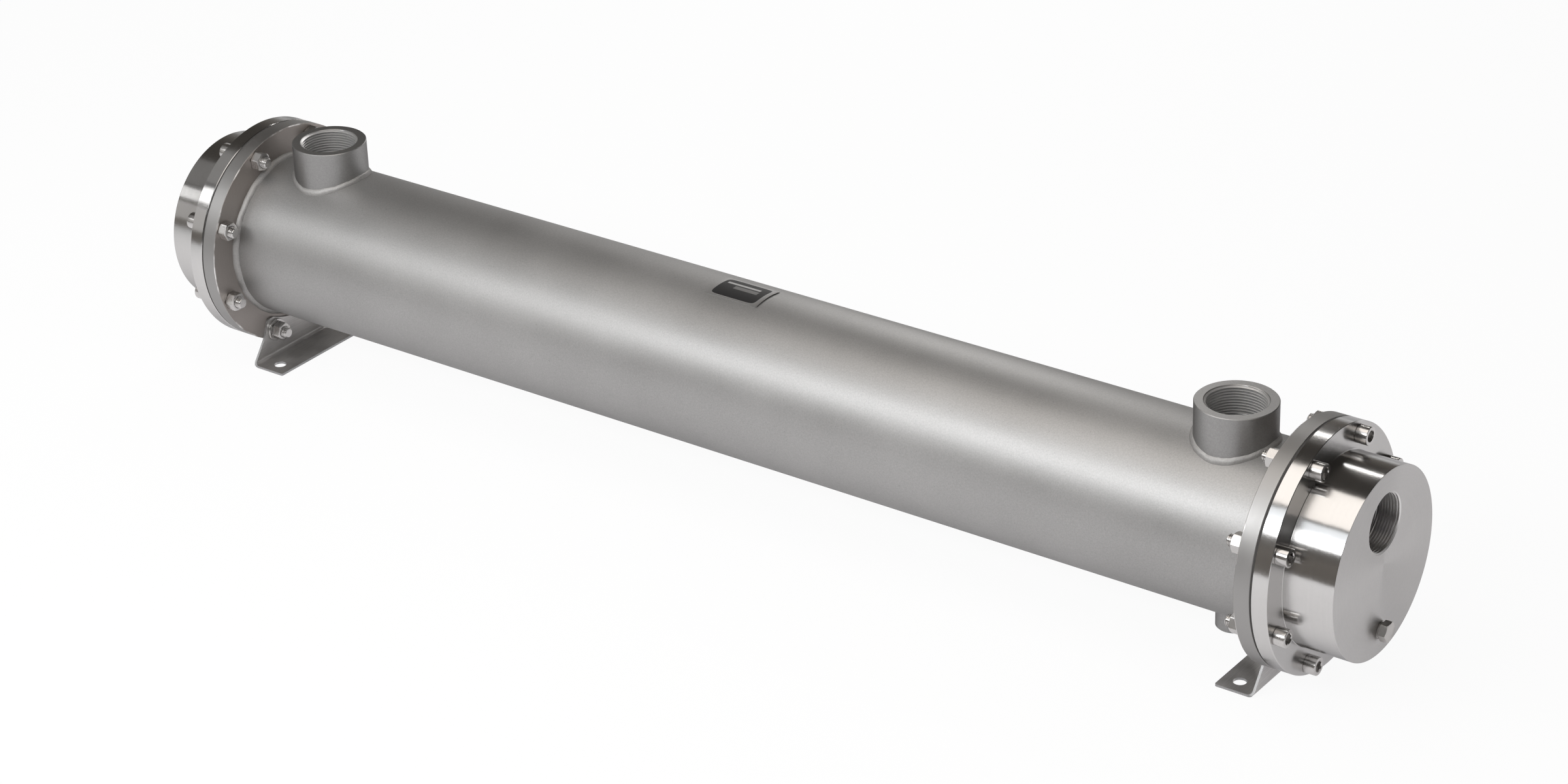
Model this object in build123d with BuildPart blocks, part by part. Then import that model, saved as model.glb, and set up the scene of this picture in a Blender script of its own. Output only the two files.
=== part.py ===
"""Horizontal shell and tube heat exchanger in stainless steel, on two bent sheet feet.

Millimetres. +X runs along the shell, +Z is up. The origin is on the floor, under the middle of
the shell. The two ends are the same, turned half a turn about the vertical through the origin.
"""

import os

from build123d import *

# Shell
shell_diameter = 139.7
shell_wall = 3.0
tube_sheet_gap = 994.0
floor_gap = 9.0

# Tube sheets, gaskets and heads
tube_sheet_thickness = 13.0
flange_edge = 9.5
gasket_thickness = 1.5
gasket_inset = 0.5
head_flange_thickness = 13.0
head_body_margin = 4.65
head_body_length = 41.0
head_wall = 10.5
head_end_wall = 20.0
head_edge_radius = 0.8
rim_chamfer = 0.4

# Threaded port and plug in the end face of each head
port_bore_diameter = 44.8
port_chamfer = 1.5
port_cavity_gap = 8.2
plug_hole_diameter = 13.8
plug_cavity_gap = 2.1
plug_shank_length = 15.0
plug_head_across_flats = 14.3
plug_head_height = 6.0
plug_neck_length = 2.0
plug_clearance = 0.05

# Head bolts
bolt_count = 8
bolt_clearance = 1.0
screw_diameter = 9.5
screw_head_diameter = 14.3
screw_head_gap = 4.85
screw_head_height = 9.5
screw_head_chamfer = 0.6
socket_across_flats = 7.9
socket_depth = 5.0
screw_tip_length = 5.0
screw_tip_chamfer = 1.0
nut_across_flats = 14.3
nut_height = 8.4
thread_clearance = 0.1
washer_diameter = 20.0
washer_thickness = 2.0

# Threaded nozzles on top of the shell
nozzle_offset = 55.0
nozzle_bore_diameter = 44.8
nozzle_wall = 9.1
nozzle_stub = 28.65
nozzle_chamfer = 2.1
nozzle_rim_chamfer = 0.5

# Drain boss under the right end of the shell
drain_offset = 53.0
drain_bore_diameter = 18.6
drain_wall = 4.7
drain_stub = 20.15
drain_chamfer = 1.3
drain_rim_chamfer = 0.8

# Fillet welds
shell_weld_leg = 5.0
nozzle_weld_leg = 4.5
drain_weld_leg = 3.5
weld_bevel_share = 0.55
weld_bulge_share = 0.62

# Feet bent from sheet
foot_sheet = 2.0
foot_bend_radius = 3.0
foot_depth = 33.0
foot_side_margin = 28.9
foot_waist_margin = 14.9
foot_waist_drop = 4.1
foot_top_margin = 8.4
foot_top_rise = 12.4
foot_top_radius = 5.0
foot_corner_radius = 1.5
foot_shell_gap = 6.0
foot_hole_diameter = 10.5
foot_hole_edge = 13.0
foot_hole_inset = 19.0

# Nameplate
plate_length = 50.0
plate_width = 31.0
plate_thickness = 0.8
plate_glue_gap = 0.3
plate_position = -6.0

# Tube bundle
tube_rings = 3
tube_pitch_share = 1.5
tube_wall = 1.0
bundle_gap = 6.85
tube_expansion_gap = 0.05
tie_rod_diameter = 6.0
tie_rod_gap = 5.85
tie_rod_grip = 8.0
tie_rod_overhang = 12.0
tie_rod_angles = (30, 150, 210, 330)
baffle_count = 5
baffle_thickness = 3.0
baffle_shell_gap = 0.5
baffle_hole_gap = 0.2
baffle_cut_share = 2.5

# Lengths worked out from the sizes above
half_gap = tube_sheet_gap / 2
shell_radius = shell_diameter / 2
shell_inner_radius = shell_radius - shell_wall
head_body_radius = shell_radius + head_body_margin
head_cavity_radius = head_body_radius - head_wall
bolt_hole_diameter = screw_diameter + bolt_clearance
bolt_circle_radius = head_body_radius + screw_head_gap + screw_head_diameter / 2
flange_radius = bolt_circle_radius + flange_edge
axis_height = flange_radius + floor_gap
gasket_face = tube_sheet_thickness
head_face = gasket_face + gasket_thickness
screw_face = head_face + head_flange_thickness
end_face = screw_face + head_body_length
head_length = head_flange_thickness + head_body_length
port_height = head_cavity_radius - port_cavity_gap - port_bore_diameter / 2
plug_depth = head_cavity_radius - plug_cavity_gap - plug_hole_diameter / 2
nozzle_x = half_gap - nozzle_offset
nozzle_diameter = nozzle_bore_diameter + 2 * nozzle_wall
nozzle_top_height = shell_radius + nozzle_stub
drain_x = half_gap - drain_offset
drain_diameter = drain_bore_diameter + 2 * drain_wall
drain_reach = shell_radius + drain_stub
nozzle_weld_radius = nozzle_diameter / 2 + nozzle_weld_leg
drain_weld_radius = drain_diameter / 2 + drain_weld_leg
bolt_start_angle = 180 / bolt_count
foot_bolt = Vector(0, -bolt_circle_radius).rotate(Axis.Z, bolt_start_angle)
foot_bolt_height = axis_height + foot_bolt.Y
foot_half_width = foot_bolt.X + foot_side_margin
foot_waist_half_width = foot_bolt.X + foot_waist_margin
foot_waist_height = foot_bolt_height - foot_waist_drop
foot_top_half_width = foot_bolt.X + foot_top_margin
foot_top_height = foot_bolt_height + foot_top_rise
foot_hole_y = foot_half_width - foot_hole_edge
foot_arc_radius = shell_radius + foot_shell_gap
foot_screw_shift = foot_sheet + washer_thickness
tube_diameter = 2 * (shell_inner_radius - bundle_gap) / (2 * tube_rings * tube_pitch_share + 1)
tube_pitch = tube_diameter * tube_pitch_share
row_height = tube_pitch * 3 ** 0.5 / 2
tie_rod_radius = shell_inner_radius - tie_rod_gap - tie_rod_diameter / 2
baffle_cut_height = row_height * baffle_cut_share
ends = (("left", -1), ("right", 1))

shell_axis = Axis((0, 0, axis_height), (1, 0, 0))
shell_plane = Plane(origin=(0, 0, axis_height), x_dir=(0, 1, 0), z_dir=(1, 0, 0))
level_plane = Plane.XY.offset(axis_height)


def end_plane(sign, outward):
    """Plane across the shell axis, outward from a tube sheet's inner face, facing outward."""
    return Plane(
        origin=(sign * (half_gap + outward), 0, axis_height),
        x_dir=(0, sign, 0),
        z_dir=(sign, 0, 0),
    )


def inward_plane(sign, height):
    """Upright plane through the shell axis: X inward from the tube sheet, Y up from a height."""
    return Plane(
        origin=(sign * half_gap, 0, height),
        x_dir=(-sign, 0, 0),
        z_dir=(0, sign, 0),
    )


def bolt_places():
    """Centres of the head bolts round the shell axis."""
    return PolarLocations(bolt_circle_radius, bolt_count, start_angle=bolt_start_angle)


def foot_bolt_places():
    """Centres of the two lowest head bolts, which also hold the foot."""
    return PolarLocations(
        bolt_circle_radius, 2, start_angle=-90 - bolt_start_angle,
        angular_range=2 * bolt_start_angle, endpoint=True,
    )


def tube_places():
    """Centres of the tubes: a hexagon of triangular pitch, as points across the shell axis."""
    points = []
    for row in range(-tube_rings, tube_rings + 1):
        in_row = 2 * tube_rings + 1 - abs(row)
        for column in range(in_row):
            points.append(((column - (in_row - 1) / 2) * tube_pitch, row * row_height))
    return points


def tie_rod_places():
    """Centres of the tie rods, outside the flat sides of the tube hexagon."""
    return [Vector(tie_rod_radius, 0).rotate(Axis.Z, angle) for angle in tie_rod_angles]


def save(part, name):
    """Label a finished piece and write it."""
    part.label = name
    export_step(part, f"parts/{name}.step")


os.makedirs("parts", exist_ok=True)

# Shell: a pipe with holes under the nozzles and over the drain boss
with BuildPart() as shell:
    with BuildSketch(shell_plane):
        Circle(shell_radius)
        Circle(shell_inner_radius, mode=Mode.SUBTRACT)
    extrude(amount=half_gap, both=True)
    with BuildSketch(level_plane):
        with Locations((-nozzle_x, 0), (nozzle_x, 0)):
            Circle(nozzle_bore_diameter / 2)
    extrude(amount=nozzle_top_height, mode=Mode.SUBTRACT)
    with BuildSketch(level_plane):
        with Locations((drain_x, 0)):
            Circle(drain_bore_diameter / 2)
    extrude(amount=-drain_reach, mode=Mode.SUBTRACT)
save(shell.part, "shell")

for side, sign in ends:
    # Tube sheet: a disc drilled for the tubes and the head bolts
    with BuildPart() as tube_sheet:
        with BuildSketch(end_plane(sign, 0)):
            Circle(flange_radius)
            with bolt_places():
                Circle(bolt_hole_diameter / 2, mode=Mode.SUBTRACT)
            with Locations(*tube_places()):
                Circle(tube_diameter / 2 + tube_expansion_gap, mode=Mode.SUBTRACT)
        extrude(amount=tube_sheet_thickness)
        rims = tube_sheet.edges().filter_by(GeomType.CIRCLE).group_by(SortBy.RADIUS)[-1]
        chamfer(rims, length=rim_chamfer)
        if side == "left":
            with BuildSketch(end_plane(sign, 0)):
                with Locations(*tie_rod_places()):
                    Circle(tie_rod_diameter / 2 + tube_expansion_gap)
            extrude(amount=tie_rod_grip, mode=Mode.SUBTRACT)
    save(tube_sheet.part, f"tube_sheet_{side}")

    # Fillet weld between the shell and the tube sheet, with a slightly crowned face
    with BuildPart() as shell_weld:
        with BuildSketch(inward_plane(sign, axis_height)):
            with BuildLine():
                Polyline(
                    (0, shell_radius + shell_weld_leg), (0, shell_radius),
                    (shell_weld_leg, shell_radius),
                )
                ThreePointArc(
                    (shell_weld_leg, shell_radius),
                    (shell_weld_leg * weld_bulge_share,
                     shell_radius + shell_weld_leg * weld_bulge_share),
                    (0, shell_radius + shell_weld_leg),
                )
            make_face()
        revolve(axis=shell_axis)
    save(shell_weld.part, f"shell_weld_{side}")

    # Gasket: a flat ring between the tube sheet and the head
    with BuildPart() as gasket:
        with BuildSketch(end_plane(sign, gasket_face)):
            Circle(flange_radius - gasket_inset)
            Circle(head_cavity_radius, mode=Mode.SUBTRACT)
            with bolt_places():
                Circle(bolt_hole_diameter / 2, mode=Mode.SUBTRACT)
        extrude(amount=gasket_thickness)
    save(gasket.part, f"gasket_{side}")

    # Head: flange and body turned from one piece, hollow, with a threaded port and a plug hole
    with BuildPart() as head:
        with BuildSketch(end_plane(sign, head_face)):
            Circle(flange_radius)
            with bolt_places():
                Circle(bolt_hole_diameter / 2, mode=Mode.SUBTRACT)
        extrude(amount=head_flange_thickness)
        rims = head.edges().filter_by(GeomType.CIRCLE).group_by(SortBy.RADIUS)[-1]
        chamfer(rims, length=rim_chamfer)
        with BuildSketch(end_plane(sign, head_face)):
            Circle(head_body_radius)
        extrude(amount=head_length)
        end_rim = head.edges().filter_by(GeomType.CIRCLE).sort_by(Axis.X)[0 if sign < 0 else -1]
        fillet(end_rim, radius=head_edge_radius)
        with BuildSketch(end_plane(sign, head_face)):
            Circle(head_cavity_radius)
        extrude(amount=head_length - head_end_wall, mode=Mode.SUBTRACT)
        with BuildSketch(end_plane(sign, head_face)):
            with Locations((0, port_height)):
                Circle(port_bore_diameter / 2)
            with Locations((0, -plug_depth)):
                Circle(plug_hole_diameter / 2)
        extrude(amount=head_length, mode=Mode.SUBTRACT)
        mouth = head.edges().filter_by(GeomType.CIRCLE).filter_by(
            lambda edge: abs(edge.radius * 2 - port_bore_diameter) < port_chamfer
        ).sort_by(Axis.X)[0 if sign < 0 else -1]
        chamfer(mouth, length=port_chamfer)
    save(head.part, f"head_{side}")

    # Plug: a hex head on a short bare neck, screwed into the end face low down
    with BuildPart() as head_plug:
        with BuildSketch(end_plane(sign, end_face + plug_neck_length)):
            with Locations((0, -plug_depth)):
                RegularPolygon(plug_head_across_flats / 2, 6, major_radius=False)
        extrude(amount=plug_head_height)
        with BuildSketch(end_plane(sign, end_face + plug_neck_length)):
            with Locations((0, -plug_depth)):
                Circle(plug_hole_diameter / 2 - plug_clearance)
        extrude(amount=-(plug_neck_length + plug_shank_length))
    save(head_plug.part, f"head_plug_{side}")

    # Socket head cap screws; the two lowest are longer, because they also hold the foot
    with BuildPart() as cap_screws:
        with BuildSketch(end_plane(sign, screw_face)):
            with bolt_places():
                Circle(screw_head_diameter / 2)
        extrude(amount=screw_head_height)
        far_x = sign * (half_gap + screw_face + screw_head_height)
        head_rims = cap_screws.edges().filter_by(GeomType.CIRCLE).filter_by_position(
            Axis.X, far_x - screw_head_chamfer, far_x + screw_head_chamfer
        )
        chamfer(head_rims, length=screw_head_chamfer)
        with BuildSketch(end_plane(sign, screw_face + screw_head_height)):
            with bolt_places():
                RegularPolygon(socket_across_flats / 2, 6, major_radius=False)
        extrude(amount=-socket_depth, mode=Mode.SUBTRACT)
        with BuildSketch(end_plane(sign, screw_face)):
            with bolt_places():
                Circle(screw_diameter / 2)
        extrude(amount=-(screw_face + nut_height + screw_tip_length))
        with BuildSketch(end_plane(sign, -nut_height)):
            with foot_bolt_places():
                Circle(screw_diameter / 2)
        extrude(amount=-(screw_tip_length + foot_screw_shift))
        tips = cap_screws.edges().filter_by(GeomType.CIRCLE).filter_by(
            lambda edge: sign * edge.center().X < half_gap - nut_height
        )
        chamfer(tips, length=screw_tip_chamfer)
    save(cap_screws.part, f"cap_screws_{side}")

    # Nuts on the tube sheet's inner face, and on the foot's washers at the two lowest screws
    with BuildPart() as nuts:
        with BuildSketch(end_plane(sign, 0)):
            with bolt_places():
                RegularPolygon(nut_across_flats / 2, 6, major_radius=False)
            with foot_bolt_places():
                Circle(washer_diameter / 2, mode=Mode.SUBTRACT)
        extrude(amount=-nut_height)
        with BuildSketch(end_plane(sign, -foot_screw_shift)):
            with foot_bolt_places():
                RegularPolygon(nut_across_flats / 2, 6, major_radius=False)
        extrude(amount=-nut_height)
        with BuildSketch(end_plane(sign, 0)):
            with bolt_places():
                Circle(screw_diameter / 2 + thread_clearance)
        extrude(amount=-(nut_height + foot_screw_shift), mode=Mode.SUBTRACT)
    save(nuts.part, f"nuts_{side}")

    # Washers between the foot and its nuts
    with BuildPart() as foot_washers:
        with BuildSketch(end_plane(sign, -foot_sheet)):
            with foot_bolt_places():
                Circle(washer_diameter / 2)
                Circle(screw_diameter / 2 + thread_clearance, mode=Mode.SUBTRACT)
        extrude(amount=-washer_thickness)
    save(foot_washers.part, f"foot_washers_{side}")

    # Foot: sheet bent once, its upright behind the tube sheet and its base turned inward
    with BuildPart() as foot:
        with BuildSketch(inward_plane(sign, 0)) as bend:
            Rectangle(foot_depth, foot_sheet, align=(Align.MIN, Align.MIN))
            Rectangle(foot_sheet, foot_top_height, align=(Align.MIN, Align.MIN))
            inner_corner = bend.vertices().sort_by_distance((foot_sheet, foot_sheet))[0]
            fillet(inner_corner, radius=foot_bend_radius)
            outer_corner = bend.vertices().sort_by_distance((0, 0))[0]
            fillet(outer_corner, radius=foot_bend_radius + foot_sheet)
        extrude(amount=foot_half_width, both=True)
        with BuildSketch(Plane(origin=(sign * half_gap, 0, 0), x_dir=(0, sign, 0),
                               z_dir=(sign, 0, 0))) as outline:
            with BuildLine():
                Polyline(
                    (-foot_half_width, 0),
                    (foot_half_width, 0),
                    (foot_half_width, foot_sheet),
                    (foot_waist_half_width, foot_waist_height),
                    (foot_top_half_width, foot_top_height),
                    (-foot_top_half_width, foot_top_height),
                    (-foot_waist_half_width, foot_waist_height),
                    (-foot_half_width, foot_sheet),
                    close=True,
                )
            make_face()
            top_corners = outline.vertices().group_by(Axis.Y)[-1]
            fillet(top_corners, radius=foot_top_radius)
            with Locations((0, axis_height)):
                Circle(foot_arc_radius, mode=Mode.SUBTRACT)
        extrude(amount=-foot_depth, mode=Mode.INTERSECT)
        base_corners = foot.edges().filter_by(Axis.Z).group_by(Axis.X)[-1 if sign < 0 else 0]
        fillet(base_corners, radius=foot_corner_radius)
        with BuildSketch(end_plane(sign, 0)):
            with foot_bolt_places():
                Circle(bolt_hole_diameter / 2)
        extrude(amount=-foot_sheet, mode=Mode.SUBTRACT)
        hole_x = sign * (half_gap - foot_hole_inset)
        with BuildSketch(Plane.XY):
            with Locations((hole_x, -foot_hole_y), (hole_x, foot_hole_y)):
                Circle(foot_hole_diameter / 2)
        extrude(amount=foot_sheet, mode=Mode.SUBTRACT)
    save(foot.part, f"foot_{side}")

    # Nozzle: a threaded socket set on the shell
    with BuildPart() as shell_nozzle:
        with BuildSketch(level_plane):
            with Locations((sign * nozzle_x, 0)):
                Circle(nozzle_diameter / 2)
        extrude(amount=nozzle_top_height)
        with BuildSketch(shell_plane):
            Circle(shell_radius)
        extrude(amount=half_gap, both=True, mode=Mode.SUBTRACT)
        with BuildSketch(level_plane):
            with Locations((sign * nozzle_x, 0)):
                Circle(nozzle_bore_diameter / 2)
        extrude(amount=nozzle_top_height, mode=Mode.SUBTRACT)
        top_edges = shell_nozzle.faces().sort_by(Axis.Z)[-1].edges().sort_by(SortBy.RADIUS)
        chamfer(top_edges[0], length=nozzle_chamfer)
        top_edges = shell_nozzle.faces().sort_by(Axis.Z)[-1].edges().sort_by(SortBy.RADIUS)
        chamfer(top_edges[-1], length=nozzle_rim_chamfer)
    save(shell_nozzle.part, f"shell_nozzle_{side}")

    # Fillet weld round the foot of the nozzle
    with BuildPart() as nozzle_weld:
        with BuildSketch(level_plane):
            with Locations((sign * nozzle_x, 0)):
                Circle(nozzle_weld_radius)
        extrude(amount=nozzle_top_height)
        with BuildSketch(shell_plane):
            Circle(shell_radius + nozzle_weld_leg)
        extrude(amount=half_gap, both=True, mode=Mode.INTERSECT)
        crest = nozzle_weld.edges().filter_by(GeomType.CIRCLE, reverse=True).group_by(Axis.Z)[-1]
        chamfer(crest, length=nozzle_weld_leg * weld_bevel_share)
        with BuildSketch(shell_plane):
            Circle(shell_radius)
        extrude(amount=half_gap, both=True, mode=Mode.SUBTRACT)
        with BuildSketch(level_plane):
            with Locations((sign * nozzle_x, 0)):
                Circle(nozzle_diameter / 2)
        extrude(amount=nozzle_top_height, mode=Mode.SUBTRACT)
    save(nozzle_weld.part, f"nozzle_weld_{side}")

# Drain boss: a short threaded socket under the right end of the shell
with BuildPart() as drain_boss:
    with BuildSketch(level_plane):
        with Locations((drain_x, 0)):
            Circle(drain_diameter / 2)
    extrude(amount=-drain_reach)
    with BuildSketch(shell_plane):
        Circle(shell_radius)
    extrude(amount=half_gap, both=True, mode=Mode.SUBTRACT)
    with BuildSketch(level_plane):
        with Locations((drain_x, 0)):
            Circle(drain_bore_diameter / 2)
    extrude(amount=-drain_reach, mode=Mode.SUBTRACT)
    low_edges = drain_boss.faces().sort_by(Axis.Z)[0].edges().sort_by(SortBy.RADIUS)
    chamfer(low_edges[0], length=drain_chamfer)
    low_edges = drain_boss.faces().sort_by(Axis.Z)[0].edges().sort_by(SortBy.RADIUS)
    chamfer(low_edges[-1], length=drain_rim_chamfer)
save(drain_boss.part, "drain_boss")

# Fillet weld round the drain boss
with BuildPart() as drain_weld:
    with BuildSketch(level_plane):
        with Locations((drain_x, 0)):
            Circle(drain_weld_radius)
    extrude(amount=-drain_reach)
    with BuildSketch(shell_plane):
        Circle(shell_radius + drain_weld_leg)
    extrude(amount=half_gap, both=True, mode=Mode.INTERSECT)
    crest = drain_weld.edges().filter_by(GeomType.CIRCLE, reverse=True).group_by(Axis.Z)[0]
    chamfer(crest, length=drain_weld_leg * weld_bevel_share)
    with BuildSketch(shell_plane):
        Circle(shell_radius)
    extrude(amount=half_gap, both=True, mode=Mode.SUBTRACT)
    with BuildSketch(level_plane):
        with Locations((drain_x, 0)):
            Circle(drain_diameter / 2)
    extrude(amount=-drain_reach, mode=Mode.SUBTRACT)
save(drain_weld.part, "drain_weld")

# Nameplate: thin sheet curved over the top of the shell
with BuildPart() as nameplate:
    with BuildSketch(shell_plane.offset(plate_position - plate_length / 2)):
        Circle(shell_radius + plate_glue_gap + plate_thickness)
        Circle(shell_radius + plate_glue_gap, mode=Mode.SUBTRACT)
        Rectangle(plate_width, 2 * shell_radius, align=(Align.CENTER, Align.MIN),
                  mode=Mode.INTERSECT)
    extrude(amount=plate_length)
save(nameplate.part, "nameplate")

# Tubes, flush with the outer faces of the tube sheets
with BuildPart() as tube_bundle:
    with BuildSketch(shell_plane):
        with Locations(*tube_places()):
            Circle(tube_diameter / 2)
            Circle(tube_diameter / 2 - tube_wall, mode=Mode.SUBTRACT)
    extrude(amount=half_gap + tube_sheet_thickness, both=True)
save(tube_bundle.part, "tube_bundle")

# Baffles: discs cut off above and below by turns, drilled for the tubes and the tie rods
baffle_pitch = tube_sheet_gap / (baffle_count + 1)
with BuildPart() as baffles:
    for number in range(1, baffle_count + 1):
        upward = 1 if number % 2 else -1
        with BuildSketch(shell_plane.offset(number * baffle_pitch - half_gap)):
            Circle(shell_inner_radius - baffle_shell_gap)
            with Locations((0, upward * baffle_cut_height)):
                Rectangle(
                    shell_diameter, 2 * shell_radius,
                    align=(Align.CENTER, Align.MIN if upward > 0 else Align.MAX),
                    mode=Mode.SUBTRACT,
                )
            with Locations(*[p for p in tube_places() if upward * p[1] < baffle_cut_height]):
                Circle(tube_diameter / 2 + baffle_hole_gap, mode=Mode.SUBTRACT)
            with Locations(*tie_rod_places()):
                Circle(tie_rod_diameter / 2 + baffle_hole_gap, mode=Mode.SUBTRACT)
        extrude(amount=baffle_thickness / 2, both=True)
save(baffles.part, "baffles")

# Tie rods, screwed into the left tube sheet and running through every baffle
tie_rod_length = tie_rod_grip + baffle_count * baffle_pitch + tie_rod_overhang
with BuildPart() as tie_rods:
    with BuildSketch(shell_plane.offset(-half_gap - tie_rod_grip)):
        with Locations(*tie_rod_places()):
            Circle(tie_rod_diameter / 2)
    extrude(amount=tie_rod_length)
save(tie_rods.part, "tie_rods")
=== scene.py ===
"""Looks of the shell and tube heat exchanger: finishes, threads, welds, fasteners and studio."""

import math

import bmesh
import bpy
from mathutils import Matrix, Vector


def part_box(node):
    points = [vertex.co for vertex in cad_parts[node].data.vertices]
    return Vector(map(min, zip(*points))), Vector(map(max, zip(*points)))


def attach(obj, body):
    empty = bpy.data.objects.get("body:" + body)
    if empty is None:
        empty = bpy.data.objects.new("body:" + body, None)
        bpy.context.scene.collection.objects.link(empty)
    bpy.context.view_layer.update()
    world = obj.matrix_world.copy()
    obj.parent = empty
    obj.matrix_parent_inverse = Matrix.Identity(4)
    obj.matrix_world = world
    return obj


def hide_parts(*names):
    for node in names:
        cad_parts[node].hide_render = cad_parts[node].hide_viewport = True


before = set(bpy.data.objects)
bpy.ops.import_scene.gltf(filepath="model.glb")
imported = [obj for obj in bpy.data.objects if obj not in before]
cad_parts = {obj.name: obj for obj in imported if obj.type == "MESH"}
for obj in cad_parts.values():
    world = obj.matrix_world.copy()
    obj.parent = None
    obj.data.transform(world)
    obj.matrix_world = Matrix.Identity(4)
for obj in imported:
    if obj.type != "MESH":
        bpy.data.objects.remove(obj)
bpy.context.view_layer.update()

MM = 0.001
TURN = 2 * math.pi
MERGE_DISTANCE = 0.002 * MM
SHARP_ANGLE = math.radians(32)

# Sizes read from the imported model
shell_low, shell_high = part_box("shell")
half_gap = shell_high.x
shell_radius = shell_high.y
axis_height = (shell_low.z + shell_high.z) / 2
head_low, head_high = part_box("head_right")
flange_radius = head_high.y
head_face = head_low.x - half_gap
end_face = head_high.x - half_gap
nozzle_low, nozzle_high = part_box("shell_nozzle_right")
nozzle_x = (nozzle_low.x + nozzle_high.x) / 2
nozzle_radius = nozzle_high.y
nozzle_top = nozzle_high.z - axis_height
_, nozzle_weld_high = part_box("nozzle_weld_right")
nozzle_weld_leg = nozzle_weld_high.y - nozzle_radius
drain_low, drain_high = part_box("drain_boss")
drain_x = (drain_low.x + drain_high.x) / 2
drain_radius = drain_high.y
drain_reach = axis_height - drain_low.z
_, drain_weld_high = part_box("drain_weld")
drain_weld_leg = drain_weld_high.y - drain_radius
_, shell_weld_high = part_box("shell_weld_right")
shell_weld_leg = shell_weld_high.y - shell_radius
plug_low, plug_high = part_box("head_plug_right")
plug_depth = axis_height - (plug_low.z + plug_high.z) / 2
plug_top = plug_high.x - half_gap - end_face
plate_low, plate_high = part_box("nameplate")
washer_low, washer_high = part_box("foot_washers_right")
washer_thickness = washer_high.x - washer_low.x
foot_low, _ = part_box("foot_right")
foot_inner_x = foot_low.x

# Sizes of the heads
flange_thickness = 13 * MM
screw_seat = head_face + flange_thickness
rim_chamfer = 0.4 * MM
body_radius = 74.5 * MM
body_root_radius = 0.6 * MM
body_edge_radius = 0.4 * MM
flat_margin = 0.3 * MM
cavity_radius = 64 * MM
end_wall = 20 * MM
port_height = 33.4 * MM
plug_hole_radius = 6.9 * MM
bolt_count = 8
bolt_circle_radius = 86.5 * MM
bolt_hole_radius = 5.25 * MM
bolt_angles = [TURN * (number + 0.5) / bolt_count for number in range(bolt_count)]

# Pipe threads: bores are measured at the crests, and a mouth opens by its slope
pipe_pitch = 2.309 * MM
pipe_thread_depth = 1.45 * MM
nozzle_bore_radius = 22.4 * MM
nozzle_chamfer = 2.1 * MM
nozzle_rim_chamfer = 0.5 * MM
nozzle_thread_length = 26 * MM
port_bore_radius = 22.4 * MM
port_chamfer = 1.5 * MM
drain_pitch = 1.814 * MM
drain_thread_depth = 1.15 * MM
drain_bore_radius = 9.3 * MM
drain_chamfer = 1.3 * MM
drain_rim_chamfer = 0.8 * MM
drain_thread_length = 15 * MM
mouth_slope = 1.5
thread_flat = 0.1

# Fasteners
screw_radius = 4.75 * MM
screw_pitch = 1.59 * MM
screw_thread_depth = 0.9 * MM
screw_thread_length = 19 * MM
screw_tip_chamfer = 1.0 * MM
screw_tip_length = 5 * MM
screw_head_radius = 7.15 * MM
screw_head_height = 9.5 * MM
screw_head_round = 0.7 * MM
screw_spin_step = 2.4
socket_across_flats = 7.9 * MM
socket_depth = 5 * MM
socket_mouth_radius = 4.65 * MM
socket_cone_depth = 1.6 * MM
nut_across_flats = 14.3 * MM
nut_height = 8.4 * MM
nut_bore_radius = 4.8 * MM
nut_mouth_radius = 5.3 * MM
nut_face_share = 0.95
hex_corner_share = 0.985
chamfer_slope = math.tan(math.radians(30))
foot_sheet = 2 * MM
foot_shift = foot_sheet + washer_thickness
washer_radius = 10 * MM
washer_edge = 0.35 * MM
plug_across_flats = 14.3 * MM
plug_neck_length = 2 * MM
plug_shank_radius = 6.85 * MM
plug_shank_length = 15 * MM
plug_pitch = 1.41 * MM
plug_thread_depth = 0.8 * MM
plug_tip_chamfer = 1.2 * MM
plug_thread_fade = 0.4 * MM

# Weld beads: leg shares are for the edge on the upper ray and the one on the lower ray
nozzle_bead_shares = (0.8, 0.5)
shell_bead_shares = (0.66, 0.8)
nozzle_ripple_height = 0.11 * MM
nozzle_ripple_pitch = 1.25 * MM
shell_ripple_height = 0.08 * MM
shell_ripple_pitch = 2.1 * MM
bead_columns = 9
bead_samples_per_ripple = 8
bead_crown_share = 0.14
bead_chevron = 0.8
bead_toe_drift = 0.12
bead_height_drift = 0.5
bead_phase_drift = 0.4
bead_ripple_spread = 0.4
bead_ripple_sink = 0.6
bead_root_inset = 0.3 * MM
drift_waves = ((0.45, 5), (0.33, 13), (0.22, 31))

# Nameplate: a box is its two ends along the shell from the plate's middle, then its two sides
plate_thickness = 0.5 * MM
plate_gap = 0.05 * MM
plate_lift = 0.55 * MM
plate_lift_length = 9 * MM
plate_rows = 40
plate_columns = 24
plate_field_box = (-22.4 * MM, 20.6 * MM, -13.6 * MM, 14.2 * MM)
plate_bright_box = (-19 * MM, 13 * MM, 5.5 * MM, 8.3 * MM)
plate_grey_box = (-9 * MM, 14 * MM, -1.0 * MM, 3.6 * MM)
plate_print_blur = 0.25 * MM
plate_corner_power = 9.0
plate_corner_limits = (0.9, 1.1)

# Points round a large, a middling and a small circle, and rows of points in a thread's pitch
ROUND_STEPS = 192
SMALL_STEPS = 96
SCREW_STEPS = 48
ROWS_PER_PITCH = 10

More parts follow.
